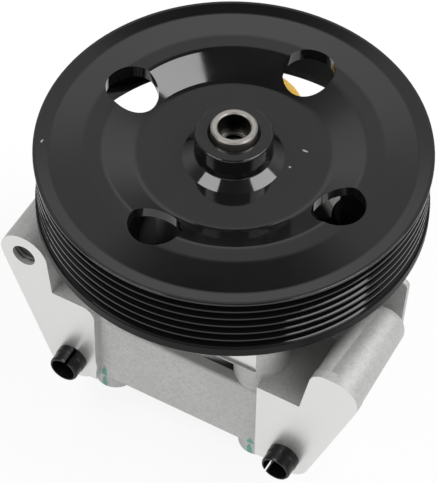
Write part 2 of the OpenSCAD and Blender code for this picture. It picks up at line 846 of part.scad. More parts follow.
module rotor() {
    color([0.58, 0.59, 0.61]) difference() {
        ring(rotor_seat_d / 2, rotor_r, ring_z + rotor_gap, ring_w - 2 * rotor_gap);
        for (i = [1 : vane_count]) rotate((i - 0.5) * vane_pitch) {
            translate([slot_floor_r, -slot_t / 2, ring_z - 1]) cube([rotor_r, slot_t, ring_w + 2]);
            translate([slot_floor_r, 0, ring_z - 1]) cylinder(r = slot_t / 2 + 0.3, h = ring_w + 2);
        }
    }
}

module vane(i) {
    tip_r = vane_t / 2;
    color([0.74, 0.75, 0.77]) rotate((i - 0.5) * vane_pitch)
        translate([0, 0, ring_z + 2 * rotor_gap]) linear_extrude(ring_w - 4 * rotor_gap) {
            translate([vane_tip_r - vane_l, -tip_r]) square([vane_l - tip_r, vane_t]);
            translate([vane_tip_r - tip_r, 0]) circle(r = tip_r);
        }
}

// Shaft, hub and pulley

module shaft() {
    end_r = hub_seat_d / 2;
    land_r = shaft_d / 2;
    seat_r = rotor_seat_d / 2;
    seat_top_z = front_plate_z + rotor_clip_t + rotor_gap;
    color([0.72, 0.72, 0.71]) difference() {
        rotate_extrude() polygon([
            [0, shaft_foot_z],
            [journal_d / 2 - 0.8, shaft_foot_z],
            [journal_d / 2, shaft_foot_z + 0.8],
            [journal_d / 2, spigot_top_z + 1],
            [seat_r, spigot_top_z + 1],
            [seat_r, front_plate_z - rotor_gap],
            [rotor_clip_groove_r, front_plate_z - rotor_gap],
            [rotor_clip_groove_r, seat_top_z],
            [land_r, seat_top_z],
            [land_r, bearing_z - shaft_collar_h],
            [shaft_collar_r, bearing_z - shaft_collar_h],
            [shaft_collar_r, bearing_z],
            [land_r, bearing_z],
            [land_r, hub_z],
            [end_r, hub_z],
            [end_r, shaft_end_z - 0.5],
            [end_r - 0.5, shaft_end_z],
            [0, shaft_end_z]
        ]);
        translate([0, 0, shaft_end_z - puller_depth]) cylinder(r = puller_r, h = puller_depth + 1);
        translate([0, 0, shaft_end_z - mouth_depth]) cylinder(r = mouth_r, h = mouth_depth + 1);
        translate([0, 0, shaft_end_z - edge_r]) cylinder(r1 = mouth_r, r2 = mouth_r + 2 * edge_r, h = 2 * edge_r);
    }
}

module rotor_clip() {
    color([0.30, 0.30, 0.31]) difference() {
        ring(rotor_clip_groove_r, rotor_clip_r, front_plate_z - rotor_gap, rotor_clip_t);
        translate([0, -rotor_clip_groove_r * 0.6, front_plate_z - 1])
            cube([2 * rotor_clip_r, rotor_clip_groove_r * 1.2, rotor_clip_t + 2]);
    }
}

module pulley_hub() {
    seat_r = hub_seat_d / 2;
    collar_r = collar_d / 2;
    color([0.09, 0.09, 0.09]) rotate_extrude() polygon(rounded([
        [seat_r, hub_z],
        [hub_skirt_r, hub_z],
        [hub_skirt_r, web_under_z],
        [hub_base_d / 2, web_under_z],
        [hub_base_d / 2, disc_z],
        [collar_r, cone_top_z, 0.6],
        [collar_r, collar_top_z, 0.7],
        [seat_r + 1, collar_top_z],
        [seat_r, collar_top_z - 1]
    ]));
}

// One belt groove, from the ridge above it to the ridge below, as [radius, z]
function groove_points(i) =
    let (
        top_z = first_ridge_z - i * groove_pitch,
        ridge_r = pulley_r - ridge_drop,
        floor_r = ridge_r - groove_depth,
        slope = groove_pitch / 2 - ridge_flat
    )
    [
        [ridge_r, top_z - ridge_flat / 2],
        [floor_r, top_z - ridge_flat / 2 - slope],
        [floor_r, top_z - groove_pitch + ridge_flat / 2 + slope],
        [ridge_r, top_z - groove_pitch + ridge_flat / 2]
    ];

function all_grooves() = [for (i = [0 : groove_count - 1]) each groove_points(i)];

module pulley() {
    last_ridge_z = first_ridge_z - groove_count * groove_pitch;
    top_inner_r = rim_inner_r - rim_taper;
    color([0.08, 0.08, 0.085]) difference() {
        rotate_extrude() polygon(rounded(concat(
            [
                [hub_base_d / 2, disc_z],
                [disc_r, disc_z, 5],
                [crest_r[0], crest_z, 4],
                [crest_r[1], crest_z, 8],
                [valley_r, valley_z, 2],
                [pulley_r - 1.1, rim_z, 0.5],
                [pulley_r, rim_z, edge_r],
                [pulley_r, first_ridge_z + ridge_flat / 2]
            ],
            all_grooves(),
            [
                [pulley_r, last_ridge_z - ridge_flat / 2],
                [pulley_r, rim_bottom_z, edge_r],
                [rim_inner_r, rim_bottom_z, edge_r],
                [top_inner_r, valley_z - web_t, 2],
                [crest_r[1], crest_z - web_t],
                [crest_r[0] - 1.4, crest_z - web_t, 2],
                [disc_r - 1.4, web_under_z, 2],
                [hub_base_d / 2, web_under_z]
            ]
        )));
        for (i = [0 : web_hole_count - 1])
            rotate(web_hole_turn + i * 360 / web_hole_count)
                translate([web_hole_circle_r, 0, web_under_z - 5])
                    cylinder(d = web_hole_d, h = crest_z - web_under_z + 10);
    }
}

// Flow-control valve

module outlet_union() {
    color([0.68, 0.68, 0.66]) at_valve() difference() {
        union() {
            bar_y(0, 0, union_r, union_foot, hex_foot + 1);
            translate([0, hex_foot, 0]) rotate([-90, 30, 0]) hexagon(union_flats, hex_h);
        }
        bar_y(0, 0, outlet_r, outlet_face - outlet_depth, outlet_face + 1);
        bar_y(0, 0, orifice_r, union_foot - 1, outlet_face);
    }
}

module union_washer() {
    color([0.72, 0.45, 0.28]) at_valve() difference() {
        bar_y(0, 0, union_flats / 2, port_face, hex_foot);
        bar_y(0, 0, union_r, port_face - 1, hex_foot + 1);
    }
}

// Level section through a round wire wound with the given pitch
function coil_section(mean_r, wire_r, pitch) =
    let (
        reach = 360 * wire_r / pitch,
        steps = [-1 : 0.25 : 1]
    )
    concat(
        [for (t = steps) (mean_r + wire_r * sqrt(1 - t * t)) * [cos(reach * t), sin(reach * t)]],
        [for (t = [0.75 : -0.25 : -0.75]) (mean_r - wire_r * sqrt(1 - t * t)) * [cos(reach * t), sin(reach * t)]]
    );

// Coil spring along +Y with closed ends
module coil_y(from_y, to_y, mean_r, wire_r, turns) {
    length = to_y - from_y;
    translate([0, from_y, 0]) rotate([-90, 0, 0])
        linear_extrude(length, twist = -360 * turns, slices = 18 * turns, $fn = 4)
            polygon(coil_section(mean_r, wire_r, length / turns));
    for (y = [from_y, to_y - 2 * wire_r]) translate([0, y, 0]) rotate([-90, 0, 0])
        ring(mean_r - wire_r, mean_r + wire_r, 0, 2 * wire_r);
}

module valve_spring() {
    color([0.50, 0.51, 0.53]) at_valve() coil_y(valve_floor, spool_foot, valve_r - 1.4, 0.6, 6);
}

module flow_spool() {
    groove_r = spool_r - 1.3;
    middle = spool_foot + spool_l / 2;
    color([0.70, 0.71, 0.73]) at_valve() difference() {
        turned_y(0, 0, [
            [0, spool_foot],
            [spool_r - 0.4, spool_foot],
            [spool_r, spool_foot + 0.4],
            [spool_r, middle - 3],
            [groove_r, middle - 3],
            [groove_r, middle + 2],
            [spool_r, middle + 2],
            [spool_r, union_foot - 0.4],
            [spool_r - 0.4, union_foot],
            [0, union_foot]
        ]);
        bar_y(0, 0, spool_bore_r, spool_foot - 1, relief_room);
        translate([0, middle - 0.5, 0]) cylinder(r = 1, h = 2 * spool_r, center = true);
    }
}

module relief_seat() {
    color([0.66, 0.60, 0.42]) at_valve() difference() {
        bar_y(0, 0, spool_bore_r, spool_foot, spool_foot + seat_l);
        bar_y(0, 0, seat_hole_r, spool_foot - 1, spool_foot + seat_l + 1);
    }
}

module relief_ball() {
    color([0.80, 0.81, 0.82]) at_valve() translate([0, relief_ball_y, 0]) sphere(r = relief_ball_r);
}

module relief_guide() {
    color([0.66, 0.67, 0.68]) at_valve() {
        bar_y(0, 0, guide_head_r, guide_y, guide_y + guide_head_t);
        bar_y(0, 0, guide_stem_r, guide_y, guide_y + guide_head_t + guide_stem_l);
    }
}

module relief_spring() {
    color([0.50, 0.51, 0.53]) at_valve()
        coil_y(guide_y + guide_head_t, relief_room, guide_stem_r + 0.9, 0.35, 3);
}

// Suction side

module suction_stub() {
    bore_r = stub_r - stub_wall;
    color([0.70, 0.70, 0.69]) turned_y(-stub_x, stub_z, [
        [bore_r, stub_face_y - stub_in],
        [stub_r, stub_face_y - stub_in],
        [stub_r, stub_face_y],
        [stub_collar_r, stub_face_y],
        [stub_collar_r, stub_face_y + stub_collar_t],
        [stub_r, stub_face_y + stub_collar_t],
        [stub_r, stub_end_y - 0.6],
        [stub_r - 0.6, stub_end_y],
        [bore_r, stub_end_y]
    ]);
}

module stub_seal() {
    color([0.08, 0.08, 0.08]) translate([-stub_x, stub_face_y - seal_cord_r, stub_z]) rotate([-90, 0, 0])
        o_ring(stub_r + seal_cord_r, seal_cord_r, 0);
}

module port_cap() {
    cap_bore_r = stub_r + run_gap;
    cap_r = cap_bore_r + cap_wall;
    mouth_y = cap_end_y - cap_l;
    color([0.86, 0.66, 0.20]) turned_y(-stub_x, stub_z, rounded([
        [0, stub_end_y],
        [cap_bore_r, stub_end_y],
        [cap_bore_r, mouth_y],
        [cap_r, mouth_y, 0.6],
        [cap_r, cap_end_y, 1],
        [0, cap_end_y]
    ]));
}

housing();
rear_cover();
cover_bolts();
cover_seal();
sleeve_left();
sleeve_right();
shaft_seal();
bearing_outer_ring();
bearing_shields();
bearing_circlip();
rear_bush();
front_plate();
rear_plate();
cam_ring();
locating_pins();
plate_spring();
plate_seal();
outlet_union();
union_washer();
valve_spring();
suction_stub();
stub_seal();
port_cap();
pulley();
pulley_hub();
shaft();
rotor();
rotor_clip();
bearing_inner_ring();
bearing_balls();
bearing_cage();
flow_spool();
relief_seat();
relief_ball();
relief_guide();
relief_spring();
for (i = [1 : vane_count]) {
    vane(i);
}
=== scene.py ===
"""Looks of a vane-type power steering pump: finishes, threads, springs and a plain studio."""

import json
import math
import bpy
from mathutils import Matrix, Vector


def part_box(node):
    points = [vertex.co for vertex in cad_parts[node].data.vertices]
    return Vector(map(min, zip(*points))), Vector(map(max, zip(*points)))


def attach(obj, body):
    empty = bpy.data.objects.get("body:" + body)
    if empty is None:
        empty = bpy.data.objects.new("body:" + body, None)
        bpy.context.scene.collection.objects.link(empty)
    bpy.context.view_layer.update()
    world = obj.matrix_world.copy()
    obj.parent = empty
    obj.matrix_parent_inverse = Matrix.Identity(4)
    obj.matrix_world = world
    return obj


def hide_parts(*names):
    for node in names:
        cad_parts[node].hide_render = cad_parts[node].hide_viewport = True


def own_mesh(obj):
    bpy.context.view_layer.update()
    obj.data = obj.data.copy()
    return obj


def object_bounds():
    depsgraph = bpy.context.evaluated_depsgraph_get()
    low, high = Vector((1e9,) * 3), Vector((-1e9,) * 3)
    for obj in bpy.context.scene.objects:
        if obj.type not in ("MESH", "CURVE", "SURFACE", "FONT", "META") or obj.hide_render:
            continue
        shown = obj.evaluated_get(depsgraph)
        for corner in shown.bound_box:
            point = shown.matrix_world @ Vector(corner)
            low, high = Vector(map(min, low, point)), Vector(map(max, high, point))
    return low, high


bl_info = {
    "name": "Power steering pump looks",
    "version": (1, 0, 0),
    "blender": (4, 5, 0),
    "location": "View3D > Sidebar > Pump",
    "description": "Finishes, threads, springs and studio for a belt-driven power steering pump",
    "category": "Object",
}

import bmesh
import bpy
from mathutils import Matrix, Vector

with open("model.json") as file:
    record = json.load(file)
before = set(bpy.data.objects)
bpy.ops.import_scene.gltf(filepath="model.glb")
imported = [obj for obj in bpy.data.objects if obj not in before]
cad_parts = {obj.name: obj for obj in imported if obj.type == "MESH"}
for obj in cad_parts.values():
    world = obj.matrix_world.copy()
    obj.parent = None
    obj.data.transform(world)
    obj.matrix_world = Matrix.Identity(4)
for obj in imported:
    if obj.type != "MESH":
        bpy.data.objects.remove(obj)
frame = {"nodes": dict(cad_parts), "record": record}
CAD_BOX = [list(corner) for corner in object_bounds()]
MOUNTS = {mount["name"]: mount for mount in frame["record"]["mounts"]}
IMAGE_WIDTH = 437

# Directions
ALONG_X = (1.0, 0.0, 0.0)
ALONG_Y = (0.0, 1.0, 0.0)
ALONG_Z = (0.0, 0.0, 1.0)
FACING_FRONT = -0.95

# Places and sizes on the pump, in metres
SHAFT_FOOT = (0.0, 0.0, 0.0)
BOSS_SETBACK = 0.004
PAD_SLACK = 0.0002
BOSS_SLACK = 0.00015
SHOULDER_SLACK = 0.0001
CUTTER_CENTRE = (0.02, 0.0, 0.9)
# The neck and body-top sizes below bound the painted shade under the pulley
NECK_REACH = 0.0375
NECK_EDGE = 0.003
BODY_TOP_Z = 0.054
BODY_TOP_EDGE = 0.004
# The ear-hole sizes bound the painted shade inside the ear's hole
EAR_HOLE_R = 0.0055
EAR_HOLE_MARGIN = 1.01
# The puller-hole sizes bound the painted shade on its walls
PULLER_HOLE_R = 0.0056
PULLER_MOUTH_DEPTH = 0.0008
RIB_FLOOR_R = 0.0598
RIB_BAND_HEIGHT = 0.0248
LOWER_LIP_HEIGHT = 0.0038

# Threads and springs
THREAD_SINK = 0.00005
TOOTH_SHARE = 0.3
TOOTH_SIDES = 6
STEPS_PER_TURN = 40
MERGE_DISTANCE = 0.000001
SHARP_ANGLE = math.radians(40)

# Centres and reaches of the inspection paint on the castings and of the chips in the pulley's paint
PAINT_DABS = (
    ((-0.0255, -0.041, 0.0192), (0.0010, 0.0090, 0.0044)),
    ((-0.0270, -0.039, 0.0104), (0.0010, 0.0090, 0.0042)),
    ((0.0307, -0.041, 0.0180), (0.0014, 0.0090, 0.0034)),
    ((0.0293, -0.039, 0.0100), (0.0011, 0.0090, 0.0042)),
)
PAINT_CHIPS = (
    ((0.0190, 0.0129, 0.1056), (0.0011, 0.0004, 0.001)),
    ((0.0180, 0.0045, 0.1056), (0.0005, 0.0004, 0.001)),
    ((-0.0541, -0.0283, 0.110), (0.0004, 0.0010, 0.001)),
)

# Shares of the casting's colour, and the colour of bare metal in a chip
CASTING_TINTS = {
    "dark": 0.80,
    "light": 1.06,
    "pit": 0.78,
    "speck": 0.35,
    # painted shade on the neck under the pulley
    "painted_shade": 0.03,
    # painted shade inside the ear's tapped hole
    "hole": 0.05,
    "milled": 1.40,
}
CHIP_COLOUR = (0.60, 0.60, 0.58)

# Stage, in metres
LAMP_AIM = (0.0, 0.0, 0.1)
FLOOR_REACH = 4.0


# Settings a user would change


class PumpFinishSettings(bpy.types.PropertyGroup):
    """Colours and grain of the pump's surfaces"""

    casting_colour: bpy.props.FloatVectorProperty(
        name="Casting", description="Colour of the bare aluminium castings", subtype="COLOR",
        size=3, min=0.0, max=1.0, default=(0.51, 0.51, 0.50))
    paint_colour: bpy.props.FloatVectorProperty(
        name="Pulley paint", description="Colour of the gloss paint on the pulley and hub", subtype="COLOR",
        size=3, min=0.0, max=1.0, default=(0.006, 0.006, 0.0062))
    steel_colour: bpy.props.FloatVectorProperty(
        name="Bright steel", description="Colour of turned and ground steel", subtype="COLOR",
        size=3, min=0.0, max=1.0, default=(0.46, 0.44, 0.41))
    zinc_colour: bpy.props.FloatVectorProperty(
        name="Zinc", description="Colour of the zinc-plated fittings", subtype="COLOR",
        size=3, min=0.0, max=1.0, default=(0.56, 0.55, 0.52))
    sleeve_colour: bpy.props.FloatVectorProperty(
        name="Sleeves", description="Colour of the phosphated locating sleeves", subtype="COLOR",
        size=3, min=0.0, max=1.0, default=(0.012, 0.012, 0.012))
    cap_colour: bpy.props.FloatVectorProperty(
        name="Cap", description="Colour of the plastic shipping cap", subtype="COLOR",
        size=3, min=0.0, max=1.0, default=(0.78, 0.47, 0.06))
    mark_colour: bpy.props.FloatVectorProperty(
        name="Inspection paint", description="Colour of the dabs of paint across the cover joint",
        subtype="COLOR", size=3, min=0.0, max=1.0, default=(0.13, 0.34, 0.28))
    grain_size: bpy.props.FloatProperty(
        name="Casting grain", description="Width of the grains on the cast skin", unit="LENGTH",
        min=0.0001, max=0.005, default=0.00055)


class PumpThreadSettings(bpy.types.PropertyGroup):
    """Sizes of the screw threads"""

    coarse_pitch: bpy.props.FloatProperty(
        name="M10 pitch", description="Pitch of the ear and puller threads", unit="LENGTH",
        min=0.0005, max=0.003, default=0.0015)
    pad_pitch: bpy.props.FloatProperty(
        name="M8 pitch", description="Pitch of the threads behind the sleeves", unit="LENGTH",
        min=0.0005, max=0.003, default=0.00125)
    outlet_pitch: bpy.props.FloatProperty(
        name="Outlet pitch", description="Pitch of the outlet port's thread", unit="LENGTH",
        min=0.0005, max=0.003, default=0.0015)


class PumpStageSettings(bpy.types.PropertyGroup):
    """Camera, lamps and floor"""

    floor_colour: bpy.props.FloatVectorProperty(
        name="Floor", description="Colour of the floor", subtype="COLOR",
        size=3, min=0.0, max=1.0, default=(0.90, 0.90, 0.90))
    floor_glow: bpy.props.FloatProperty(
        name="White-out", description="Share of plain white in the floor as the camera sees it",
        min=0.0, max=1.0, default=0.86)
    window_light: bpy.props.FloatProperty(
        name="Overhead lamps", description="Brightness of the three overhead soft boxes",
        min=0.0, max=60.0, default=8.0)
    front_light: bpy.props.FloatProperty(
        name="Front lamp", description="Brightness of the wide lamp in front",
        min=0.0, max=60.0, default=1.0)
    side_light: bpy.props.FloatProperty(
        name="Side lamp", description="Brightness of the lamp on the right",
        min=0.0, max=60.0, default=1.5)
    room_light: bpy.props.FloatProperty(
        name="Room light", description="Strength of the soft light of the room",
        min=0.0, max=3.0, default=0.60)
    camera_place: bpy.props.FloatVectorProperty(
        name="Camera", description="Where the camera stands", subtype="TRANSLATION", unit="LENGTH",
        size=3, default=(0.27478, -0.51032, 0.77363))
    camera_aim: bpy.props.FloatVectorProperty(
        name="Aim", description="Point in the middle of the picture", subtype="TRANSLATION", unit="LENGTH",
        size=3, default=(-0.00424, -0.00134, 0.0607))
    camera_roll: bpy.props.FloatProperty(
        name="Roll", description="Tilt of the camera about its view", subtype="ANGLE",
        default=math.radians(0.92))
    focal_pixels: bpy.props.FloatProperty(
        name="Focal length", description="Focal length in pixels of the picture",
        min=100.0, default=2770.9)


# Shader node groups


def add_node(tree, kind, **values):
    """New node with its plain settings and, by socket name, its unlinked inputs."""
    node = tree.nodes.new(kind)
    for key, value in values.items():
        if key in node.inputs:
            node.inputs[key].default_value = value
        else:
            setattr(node, key, value)
    return node


def new_shader_group(name, inputs, outputs):
    """Empty shader node group with named sockets; returns the tree and its two ends."""
    tree = bpy.data.node_groups.new(name, "ShaderNodeTree")
    for socket_name, socket_type, default in inputs:
        socket = tree.interface.new_socket(socket_name, in_out="INPUT", socket_type=socket_type)
        socket.default_value = default
    for socket_name, socket_type in outputs:
        tree.interface.new_socket(socket_name, in_out="OUTPUT", socket_type=socket_type)
    return tree, tree.nodes.new("NodeGroupInput"), tree.nodes.new("NodeGroupOutput")


def maths(tree, operation, first, second=None):
    """Math node whose inputs are sockets or numbers; returns its output."""
    node = tree.nodes.new("ShaderNodeMath")
    node.operation = operation
    for socket, value in zip(node.inputs, (first, second)):
        if value is None:
            continue
        if isinstance(value, (int, float)):
            socket.default_value = value
        else:
            tree.links.new(value, socket)
    return node.outputs[0]


def vector_maths(tree, operation, first, second=None):
    """Vector Math node whose inputs are sockets or vectors; returns the node."""
    node = tree.nodes.new("ShaderNodeVectorMath")
    node.operation = operation
    for socket, value in zip(node.inputs, (first, second)):
        if value is None:
            continue
        if isinstance(value, tuple):
            socket.default_value = value
        else:
            tree.links.new(value, socket)
    return node


def ramp(tree, value, low, high):
    """Smooth step from 0 at low to 1 at high."""
    node = add_node(tree, "ShaderNodeMapRange", interpolation_type="SMOOTHSTEP")
    tree.links.new(value, node.inputs["Value"])
    node.inputs["From Min"].default_value = low
    node.inputs["From Max"].default_value = high
    return node.outputs["Result"]


def noise(tree, vector, scale, detail=2.0, roughness=0.5):
    """Noise texture on a vector; scale is a number or a socket."""
    node = add_node(tree, "ShaderNodeTexNoise", Detail=detail, Roughness=roughness)
    tree.links.new(vector, node.inputs["Vector"])
    if isinstance(scale, (int, float)):
        node.inputs["Scale"].default_value = scale
    else:
        tree.links.new(scale, node.inputs["Scale"])
    return node.outputs["Fac"]


def build_casting_grain():
    """Fine sandy skin of a casting, with broad tone changes."""
    tree, start, end = new_shader_group(
        "Casting grain", [("Grain", "NodeSocketFloat", 0.0006)],
        [("Height", "NodeSocketFloat"), ("Tone", "NodeSocketFloat")])
    place = tree.nodes.new("ShaderNodeTexCoord").outputs["Object"]
    scale = maths(tree, "DIVIDE", 1.0, start.outputs["Grain"])
    fine = noise(tree, place, scale, 3.0, 0.6)
    coarse = noise(tree, place, maths(tree, "MULTIPLY", scale, 0.28), 2.0)
    height = maths(tree, "ADD", maths(tree, "MULTIPLY", fine, 0.7), maths(tree, "MULTIPLY", coarse, 0.3))
    tree.links.new(height, end.inputs["Height"])
    tree.links.new(noise(tree, place, 42.0, 3.0, 0.55), end.inputs["Tone"])
    return tree


def build_turning_marks():
    """Fine rings left by a lathe round an axis."""
    tree, start, end = new_shader_group(
        "Turning marks",
        [("Centre", "NodeSocketVector", SHAFT_FOOT), ("Axis", "NodeSocketVector", ALONG_Z),
         ("Lines per metre", "NodeSocketFloat", 4000.0)],
        [("Height", "NodeSocketFloat"), ("Tone", "NodeSocketFloat")])
    place = tree.nodes.new("ShaderNodeTexCoord").outputs["Object"]
    offset = vector_maths(tree, "SUBTRACT", place, start.outputs["Centre"]).outputs["Vector"]
    along = vector_maths(tree, "DOT_PRODUCT", offset, start.outputs["Axis"]).outputs["Value"]
    across = vector_maths(tree, "CROSS_PRODUCT", offset, start.outputs["Axis"]).outputs["Vector"]
    radius = vector_maths(tree, "LENGTH", across).outputs["Value"]
    pair = tree.nodes.new("ShaderNodeCombineXYZ")
    tree.links.new(radius, pair.inputs["X"])
    tree.links.new(along, pair.inputs["Y"])
    lines = noise(tree, pair.outputs["Vector"], start.outputs["Lines per metre"], 2.0, 0.6)
    broad = noise(tree, pair.outputs["Vector"],
                  maths(tree, "MULTIPLY", start.outputs["Lines per metre"], 0.12), 2.0)
    tree.links.new(lines, end.inputs["Height"])
    tree.links.new(broad, end.inputs["Tone"])
    return tree


def build_handling_marks():
    """Smudges, dust and specks from handling."""
    tree, start, end = new_shader_group(
        "Handling marks",
        [("Smudge size", "NodeSocketFloat", 0.02), ("Speck size", "NodeSocketFloat", 0.002)],
        [("Smudge", "NodeSocketFloat"), ("Specks", "NodeSocketFloat")])
    place = tree.nodes.new("ShaderNodeTexCoord").outputs["Object"]
    smudge = noise(tree, place, maths(tree, "DIVIDE", 1.0, start.outputs["Smudge size"]), 4.0, 0.6)
    tree.links.new(ramp(tree, smudge, 0.42, 0.72), end.inputs["Smudge"])
    specks = noise(tree, place, maths(tree, "DIVIDE", 1.0, start.outputs["Speck size"]), 1.0, 0.4)
    tree.links.new(ramp(tree, specks, 0.77, 0.80), end.inputs["Specks"])
    return tree


def build_dab_and_shade_mask():
    """Ragged mask round a point, stretched along the three axes, for dabs of paint and chips and for
    painted shade in holes.
    """
    tree, start, end = new_shader_group(
        "Dab and shade mask",
        [("Centre", "NodeSocketVector", (0.0, 0.0, 0.0)),
         ("Reach", "NodeSocketVector", (0.002, 0.002, 0.002)),
         ("Rag", "NodeSocketFloat", 0.5)],
        [("Mask", "NodeSocketFloat")])
    place = tree.nodes.new("ShaderNodeTexCoord").outputs["Object"]
    offset = vector_maths(tree, "SUBTRACT", place, start.outputs["Centre"]).outputs["Vector"]
    share = vector_maths(tree, "DIVIDE", offset, start.outputs["Reach"]).outputs["Vector"]
    distance = vector_maths(tree, "LENGTH", share).outputs["Value"]
    edge = maths(tree, "MULTIPLY", maths(tree, "SUBTRACT", noise(tree, place, 900.0, 3.0, 0.6), 0.5),
                 start.outputs["Rag"])
    ragged = maths(tree, "ADD", distance, edge)
    tree.links.new(maths(tree, "SUBTRACT", 1.0, ramp(tree, ragged, 0.82, 1.0)), end.inputs["Mask"])
    return tree


GROUP_BUILDERS = {
    "Casting grain": build_casting_grain,
    "Turning marks": build_turning_marks,
    "Handling marks": build_handling_marks,
    "Dab and shade mask": build_dab_and_shade_mask,
}


def place_group(tree, name, **values):
    """Places a shared shader group in a material and sets its named inputs."""
    group = bpy.data.node_groups.get(name) or GROUP_BUILDERS[name]()
    node = tree.nodes.new("ShaderNodeGroup")
    node.node_tree = group
    for key, value in values.items():
        node.inputs[key.replace("_", " ")].default_value = value
    return node


# Materials


def new_material(name):
    """Material with an empty tree but for a Principled BSDF; returns material, tree and shader."""
    material = bpy.data.materials.new(name)
    material.use_nodes = True
    tree = material.node_tree
    shader = tree.nodes["Principled BSDF"]
    return material, tree, shader


def mix_colours(tree, mask, first, second):
    """Colour mixed by a mask; both ends are sockets or colours."""
    node = add_node(tree, "ShaderNodeMix", data_type="RGBA")
    tree.links.new(mask, node.inputs[0])
    for socket, value in ((node.inputs[6], first), (node.inputs[7], second)):
        if isinstance(value, bpy.types.NodeSocket):
            tree.links.new(value, socket)
        else:
            socket.default_value = (*value, 1.0)
    return node.outputs[2]


def mix_values(tree, mask, low, high):
    """Number that runs from low to high with a mask."""
    node = add_node(tree, "ShaderNodeMapRange")
    tree.links.new(mask, node.inputs["Value"])
    node.inputs["To Min"].default_value = low
    node.inputs["To Max"].default_value = high
    return node.outputs["Result"]


def blend_values(tree, mask, first, second):
    """Number mixed by a mask; the first end is a socket, the second a socket or a number."""
    node = add_node(tree, "ShaderNodeMix", data_type="FLOAT")
    tree.links.new(mask, node.inputs[0])
    tree.links.new(first, node.inputs[2])
    if isinstance(second, bpy.types.NodeSocket):
        tree.links.new(second, node.inputs[3])
    else:
        node.inputs[3].default_value = second
    return node.outputs[0]


def bump(tree, shader, height, distance, strength, below=None):
    """Bump of a height into the shader's normal, on top of another bump where given."""
    node = add_node(tree, "ShaderNodeBump", Strength=strength, Distance=distance)
    tree.links.new(height, node.inputs["Height"])
    if below is not None:
        tree.links.new(below.outputs["Normal"], node.inputs["Normal"])
    tree.links.new(node.outputs["Normal"], shader.inputs["Normal"])
    return node


def tinted(colour, factor):
    """Colour made lighter or darker by a factor."""
    return tuple(min(1.0, channel * factor) for channel in colour)


def milled_mask(tree, pad_y, boss_y):
    """1 on the faces that look forward in the milled planes of the pads and of the bolt boss."""
    surface = tree.nodes.new("ShaderNodeTexCoord")
    place = tree.nodes.new("ShaderNodeSeparateXYZ")
    tree.links.new(surface.outputs["Object"], place.inputs["Vector"])
    facing = tree.nodes.new("ShaderNodeSeparateXYZ")
    tree.links.new(surface.outputs["Normal"], facing.inputs["Vector"])
    pads = maths(tree, "LESS_THAN", place.outputs["Y"], pad_y + PAD_SLACK)
    step = maths(tree, "ABSOLUTE", maths(tree, "SUBTRACT", place.outputs["Y"], boss_y))
    either = maths(tree, "MAXIMUM", pads, maths(tree, "LESS_THAN", step, BOSS_SLACK))
    return maths(tree, "MULTIPLY", either, maths(tree, "LESS_THAN", facing.outputs["Y"], FACING_FRONT))


def round_place(tree):
    """Distance from the shaft's axis and height of a point on the surface."""
    place = tree.nodes.new("ShaderNodeTexCoord").outputs["Object"]
    parts = tree.nodes.new("ShaderNodeSeparateXYZ")
    tree.links.new(place, parts.inputs["Vector"])
    flat = vector_maths(tree, "MULTIPLY", place, (1.0, 1.0, 0.0)).outputs["Vector"]
    return vector_maths(tree, "LENGTH", flat).outputs["Value"], parts.outputs["Z"]


def neck_shade_mask(tree):
    """1 on the neck under the pulley and on the body's top round it, where shade is painted in."""
    radius, height = round_place(tree)
    near = ramp(tree, radius, NECK_REACH, NECK_REACH - NECK_EDGE)
    above = ramp(tree, height, BODY_TOP_Z, BODY_TOP_Z + BODY_TOP_EDGE)
    return maths(tree, "MULTIPLY", near, above)


def bore_shade_mask(tree, bore_r, mouth_z, shoulder_z):
    """1 on the walls of a stepped hole along the shaft, below its mouth and off the shoulder in it, where
    shade is painted in.
    """
    radius, height = round_place(tree)
    inside = maths(tree, "LESS_THAN", radius, bore_r)
    below = maths(tree, "LESS_THAN", height, mouth_z)
    step = maths(tree, "ABSOLUTE", maths(tree, "SUBTRACT", height, shoulder_z))
    wall = maths(tree, "GREATER_THAN", step, SHOULDER_SLACK)
    return maths(tree, "MULTIPLY", wall, maths(tree, "MULTIPLY", inside, below))


def rim_masks(tree, floor_r, band_z, lip_z):
    """Masks of a pulley's rib band with the lip below it, and of that lip alone."""
    radius, height = round_place(tree)
    outside = maths(tree, "GREATER_THAN", radius, floor_r)
    band = maths(tree, "MULTIPLY", maths(tree, "LESS_THAN", height, band_z), outside)
    lip = maths(tree, "MULTIPLY", maths(tree, "LESS_THAN", height, lip_z), outside)
    return band, lip


